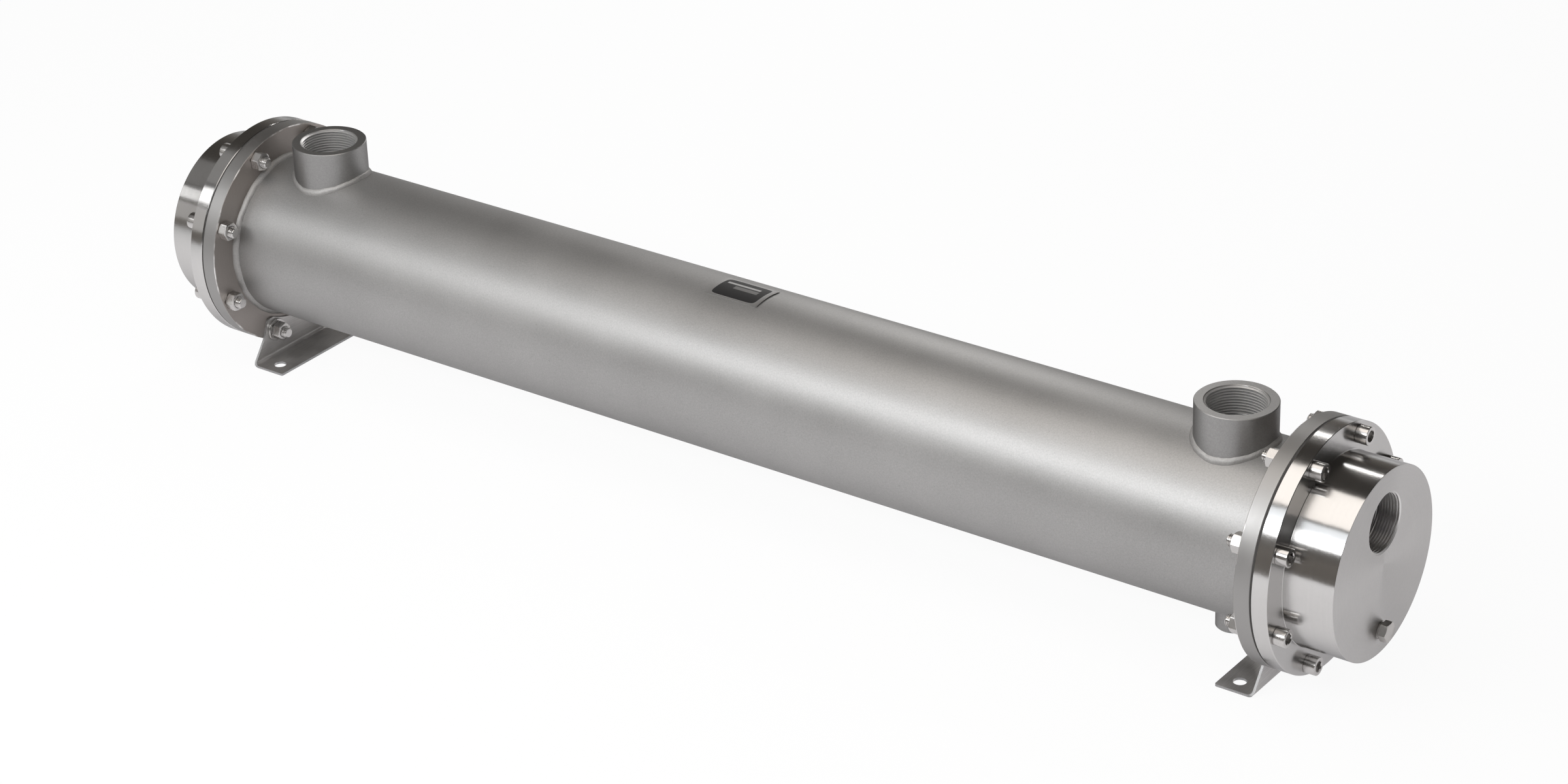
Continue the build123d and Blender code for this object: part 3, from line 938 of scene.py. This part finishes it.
def cap_screw(grip):
    """Socket head cap screw along local Z: its head stands on zero, its tip is at minus grip."""
    steps = SCREW_STEPS
    socket = hexagon(socket_across_flats)
    top = screw_head_height
    socket_floor = top - socket_depth

    def mouth_height(angle):
        return top - (socket_mouth_radius - socket(angle))

    side = rounded((screw_head_radius - screw_head_round, top), (screw_head_radius, top),
                   (screw_head_radius, top - screw_head_round))
    thread_high = screw_thread_length - grip
    solid = Solid()
    solid.turn([
        (0, socket_floor - socket_cone_depth),
        (socket, socket_floor),
        (socket, mouth_height),
        (socket_mouth_radius, top),
        *side,
        (screw_head_radius, screw_head_round / 2),
        (screw_head_radius - screw_head_round / 2, 0),
        (screw_radius, 0),
        (screw_radius, thread_high),
    ], steps)
    solid.sheet(male_thread(screw_radius, screw_thread_depth, screw_pitch, -grip, thread_high,
                            screw_pitch, screw_tip_chamfer, steps), closed=False)
    solid.turn([(screw_radius - screw_tip_chamfer, -grip), (0, -grip)], steps)
    return solid


def hex_nut():
    """Hex nut along local Z with its seat on zero, chamfered on both faces."""
    corner = hexagon(nut_across_flats)
    face_radius = nut_across_flats / 2 * nut_face_share
    mouth = nut_mouth_radius - nut_bore_radius

    def low_edge(angle):
        return (corner(angle) - face_radius) * chamfer_slope

    def high_edge(angle):
        return nut_height - low_edge(angle)

    solid = Solid()
    solid.turn([
        (nut_bore_radius, mouth),
        (nut_mouth_radius, 0),
        (face_radius, 0),
        (corner, low_edge),
        (corner, high_edge),
        (face_radius, nut_height),
        (nut_mouth_radius, nut_height),
        (nut_bore_radius, nut_height - mouth),
        (nut_bore_radius, mouth),
    ], SMALL_STEPS)
    return solid


def flat_washer(bore_radius, radius, thickness):
    """Washer along local Z with its seat on zero and dulled edges."""
    solid = Solid()
    solid.turn([
        (bore_radius, 0),
        (radius - washer_edge, 0),
        (radius, washer_edge),
        (radius, thickness - washer_edge),
        (radius - washer_edge, thickness),
        (bore_radius, thickness),
        (bore_radius, 0),
    ], SCREW_STEPS)
    return solid


def hex_plug():
    """Plug along local Z: a hex head on a threaded neck that enters its hole at zero."""
    steps = SMALL_STEPS
    corner = hexagon(plug_across_flats)
    face_radius = plug_across_flats / 2 * nut_face_share

    def high_edge(angle):
        return plug_top - (corner(angle) - face_radius) * chamfer_slope

    solid = Solid()
    solid.turn([
        (0, plug_top),
        (face_radius, plug_top),
        (corner, high_edge),
        (corner, plug_neck_length),
        (plug_shank_radius, plug_neck_length),
    ], steps)
    solid.sheet(male_thread(plug_shank_radius, plug_thread_depth, plug_pitch, -plug_shank_length,
                            plug_neck_length, plug_thread_fade, plug_tip_chamfer, steps),
                closed=False)
    solid.turn([(plug_shank_radius - plug_tip_chamfer, -plug_shank_length),
                (0, -plug_shank_length)], steps)
    return solid


def name_plate():
    """Thin plate bent over the shell, one end standing off a little."""
    across = math.asin(plate_high.y / (shell_radius + plate_thickness))
    rows = []
    length = plate_high.x - plate_low.x
    for row in range(plate_rows + 1):
        along = length * row / plate_rows
        lift = plate_lift * max(0, 1 - (length - along) / plate_lift_length) ** 2
        base = shell_radius + plate_gap + lift
        section = []
        for radius, order in ((base + plate_thickness, 1), (base, -1)):
            for column in range(plate_columns + 1):
                angle = order * across * (2 * column / plate_columns - 1)
                section.append(Vector((
                    plate_low.x + along, radius * math.sin(angle),
                    axis_height + radius * math.cos(angle),
                )))
        rows.append(section)
    solid = Solid()
    solid.sheet(rows)
    solid.fill([rows[0]])
    solid.fill([rows[-1]])
    return solid


for side, sign in (("left", -1), ("right", 1)):
    nozzle = threaded_socket(nozzle_radius, nozzle_top, nozzle_bore_radius, pipe_thread_depth,
                             pipe_pitch, nozzle_thread_length, nozzle_chamfer,
                             nozzle_rim_chamfer, ROUND_STEPS)
    place_solid(nozzle, upright(sign * nozzle_x)).piece(
        f"threaded_nozzle_{side}", nozzle_steel, f"shell_nozzle_{side}", "shell_steel")
    place_solid(nozzle_bead(nozzle_radius, nozzle_weld_leg), upright(sign * nozzle_x)).piece(
        f"nozzle_bead_{side}", weld_steel, f"nozzle_weld_{side}", "weld_steel")
    place_solid(shell_bead(shell_radius, shell_weld_leg), axial(sign)).piece(
        f"shell_bead_{side}", weld_steel, f"shell_weld_{side}", "weld_steel")
    place_solid(head_solid(), axial(sign)).piece(
        f"turned_head_{side}", polished_steel, f"head_{side}", "polished_steel")
    plug_place = axial(sign, end_face) @ Matrix.Translation((0, -plug_depth, 0))
    place_solid(hex_plug(), plug_place).piece(
        f"hex_plug_{side}", plug_steel, f"head_plug_{side}", "fastener_steel")

    screws = Solid()
    nuts = Solid()
    washers = Solid()
    for number, angle in enumerate(bolt_angles):
        # The two lowest bolts also hold the foot, over washers
        holds_foot = math.sin(angle) < -math.cos(TURN / bolt_count)
        shift = foot_shift if holds_foot else 0
        centre = Matrix.Translation((*bolt_centre(angle), 0))
        spin = Matrix.Rotation(screw_spin_step * number + sign, 4, "Z")
        grip = screw_seat + nut_height + screw_tip_length + shift
        screws.add(cap_screw(grip), axial(sign, screw_seat) @ centre @ spin)
        nuts.add(hex_nut(), axial(sign, -nut_height - shift) @ centre @ spin)
        if holds_foot:
            washer = flat_washer(nut_bore_radius, washer_radius, washer_thickness)
            washers.add(washer, axial(sign, -foot_shift) @ centre)
    screws.piece(f"cap_screw_set_{side}", fastener_steel, f"cap_screws_{side}", "fastener_steel")
    nuts.piece(f"nut_set_{side}", nut_steel, f"nuts_{side}", "fastener_steel")
    washers.piece(f"washer_set_{side}", fastener_steel, f"foot_washers_{side}", "fastener_steel")

drain = threaded_socket(drain_radius, drain_reach, drain_bore_radius, drain_thread_depth,
                        drain_pitch, drain_thread_length, drain_chamfer, drain_rim_chamfer,
                        SMALL_STEPS)
place_solid(drain, upright(drain_x, -1)).piece(
    "threaded_drain", drain_steel, "drain_boss", "shell_steel")
place_solid(nozzle_bead(drain_radius, drain_weld_leg), upright(drain_x, -1)).piece(
    "drain_bead", weld_steel, "drain_weld", "weld_steel")
name_plate().piece("name_plate", plate_metal, "nameplate", "plate_metal")

# Camera at the photograph's angle, taken from a fit to its 2400 by 1200 pixels
photo_width = 2400
focal_pixels = 5896.35
sensor_width = 36
camera_place = Vector((1.6721, -2.16732, 1.49925))
camera_azimuth = math.radians(37.1293)
camera_elevation = math.radians(27.3134)
camera_roll = math.radians(-2.1214)
camera_data = bpy.data.cameras.new("camera")
camera_data.sensor_width = sensor_width
camera_data.lens = focal_pixels / photo_width * sensor_width
camera = bpy.data.objects.new("camera", camera_data)
bpy.context.scene.collection.objects.link(camera)
camera.matrix_world = (
    Matrix.Translation(camera_place)
    @ Matrix.Rotation(camera_azimuth, 4, "Z")
    @ Matrix.Rotation(TURN / 4 - camera_elevation, 4, "X")
    @ Matrix.Rotation(camera_roll, 4, "Z")
)
bpy.context.scene.camera = camera

# Floor: white where the camera sees it, with the object's shadow, and in what metal mirrors pale
# near the object and darker far to the left
floor_near = -0.95
floor_far = 7.0
floor_side = 7.0
floor_tone = 0.86
floor_glow_seen = 0.93
floor_glow_mirrored = 0.5
mirrored_left_limits = (-1.15, -0.7)
mirrored_left_tone = 0.38
mirrored_near_colour = (0.88, 0.86, 0.88, 1)
floor_mesh = bpy.data.meshes.new("floor")
floor_mesh.from_pydata([
    (-floor_side, floor_near, 0), (floor_side, floor_near, 0),
    (floor_side, floor_far, 0), (-floor_side, floor_far, 0),
], [], [(0, 1, 2, 3)])
floor = bpy.data.objects.new("floor", floor_mesh)
bpy.context.scene.collection.objects.link(floor)

floor_material, floor_tree, floor_shader = new_material("pale_floor")
set_inputs(floor_tree, floor_shader, {
    "Base Color": grey(floor_tone), "Roughness": 1.0, "Specular IOR Level": 0.0,
})
floor_rays = node(floor_tree, "ShaderNodeLightPath").outputs
glow_seen = product(floor_tree, floor_rays["Is Camera Ray"], floor_glow_seen)
mirrored = math_node(floor_tree, "ADD", floor_rays["Is Glossy Ray"],
                     floor_rays["Is Transmission Ray"], clamp=True)
floor_along = split(floor_tree, object_place(floor_tree))["X"]
near_share = rising(floor_tree, floor_along, mirrored_left_limits)
mirrored_colour = blend_colour(floor_tree, near_share, grey(mirrored_left_tone),
                               mirrored_near_colour)
glow_colour = blend_colour(floor_tree, mirrored, grey(1.0), mirrored_colour)
glow = node(floor_tree, "ShaderNodeEmission", {"Color": glow_colour, "Strength": 1.0})
glow_share = math_node(floor_tree, "MULTIPLY_ADD", mirrored, floor_glow_mirrored, glow_seen)
floor_mix = node(floor_tree, "ShaderNodeMixShader", {
    0: glow_share, 1: floor_shader.outputs[0], 2: glow.outputs[0],
})
floor_tree.links.new(floor_mix.outputs[0], floor_tree.nodes["Material Output"].inputs["Surface"])
floor_mesh.materials.append(floor_material)

# World: white to the camera, even light for matt surfaces, and for what metal mirrors a white
# backdrop low behind the object and a dim room, darkest above and on the right. Limits are on one
# part of a direction, and a room stop is a place on the ramp from below to above and its tone.
ambient_level = 0.34
room_height_limits = (-0.2, 1.0)
room_stops = ((0.0, 0.13), (0.17, 0.14), (0.35, 0.15), (0.55, 0.06), (1.0, 0.04))
room_warmth = 0.1
right_side_limits = (0.0, 0.5)
right_side_shade = 0.85
right_side_colour = (0.015, 0.014, 0.013, 1)
backdrop_height_limits = (0.06, 0.14)
backdrop_side_limits = (0.0, 0.3)
world = bpy.data.worlds.new("studio")
bpy.context.scene.world = world
world.use_nodes = True
world_tree = world.node_tree
world_tree.nodes.clear()
way = split(world_tree, node(world_tree, "ShaderNodeTexCoord").outputs["Generated"])
rays = node(world_tree, "ShaderNodeLightPath").outputs
room_ramp = node(world_tree, "ShaderNodeValToRGB", {
    0: rising(world_tree, way["Z"], room_height_limits),
})
ramp = room_ramp.color_ramp
for number, (place, tone) in enumerate(room_stops):
    stop = ramp.elements[number] if number < 2 else ramp.elements.new(place)
    stop.position = place
    stop.color = grey(tone, room_warmth)
right_side = spread(world_tree, way["X"], 0, right_side_shade, *right_side_limits)
dim_room = blend_colour(world_tree, right_side, room_ramp.outputs["Color"], right_side_colour)
room = blend_colour(world_tree, rays["Is Diffuse Ray"], dim_room, grey(ambient_level))
backdrop_place = product(world_tree, falling(world_tree, way["Z"], backdrop_height_limits),
                         rising(world_tree, way["Y"], backdrop_side_limits))
backdrop = product(world_tree, backdrop_place, rays["Is Glossy Ray"])
seen_white = math_node(world_tree, "ADD", rays["Is Camera Ray"], rays["Is Transmission Ray"],
                       clamp=True)
white = math_node(world_tree, "ADD", seen_white, backdrop, clamp=True)
sky = blend_colour(world_tree, white, room, grey(1.0))
background = node(world_tree, "ShaderNodeBackground", {"Color": sky, "Strength": 1.0})
world_output = node(world_tree, "ShaderNodeOutputWorld")
world_tree.links.new(background.outputs[0], world_output.inputs["Surface"])


def softbox(name, centre, length, width, strength, warmth=0.0):
    """A soft lamp lying along X and facing the shell axis; its strength is its brightness."""
    lamp = bpy.data.lights.new(name, "AREA")
    lamp.shape = "RECTANGLE"
    lamp.size = length
    lamp.size_y = width
    lamp.energy = strength * math.pi * length * width
    lamp.color = grey(1.0, warmth)[:3]
    thing = bpy.data.objects.new(name, lamp)
    bpy.context.scene.collection.objects.link(thing)
    away = math.atan2(centre[1], centre[2] - axis_height)
    thing.matrix_world = Matrix.Translation(centre) @ Matrix.Rotation(-away, 4, "X")


# Lamps: name, centre, length, width, strength and warmth
softboxes = (
    ("overhead_softbox", (0.0, -0.3, 1.2), 1.2, 0.8, 1.45, 0.055),
    ("overhead_left", (-1.25, -0.3, 1.2), 1.3, 0.8, 0.24),
    ("front_softbox", (-0.3, -1.18, 1.33), 2.0, 0.36, 1.3, -0.04),
    ("front_tube", (-0.25, -1.39, 1.08), 2.0, 0.31, 8.3, -0.01),
    ("left_softbox", (-1.9, -1.25, 1.25), 1.2, 0.45, 1.9),
    ("left_reflector", (-2.2, -1.8, 0.65), 1.8, 0.8, 0.42),
    ("overhead_right", (1.1, -0.3, 1.2), 0.7, 0.8, 0.9, 0.055),
    ("front_right", (1.1, -1.2, 1.3), 0.7, 0.7, 0.6),
    ("back_strip", (-0.35, 1.2, 1.3), 0.9, 0.045, 14.0, 0.02),
    ("back_panel", (-0.66, 1.4, 0.82), 0.45, 0.8, 3.2, 0.01),
)
for row in softboxes:
    softbox(*row)

scene = bpy.context.scene
scene.view_settings.view_transform = "Standard"
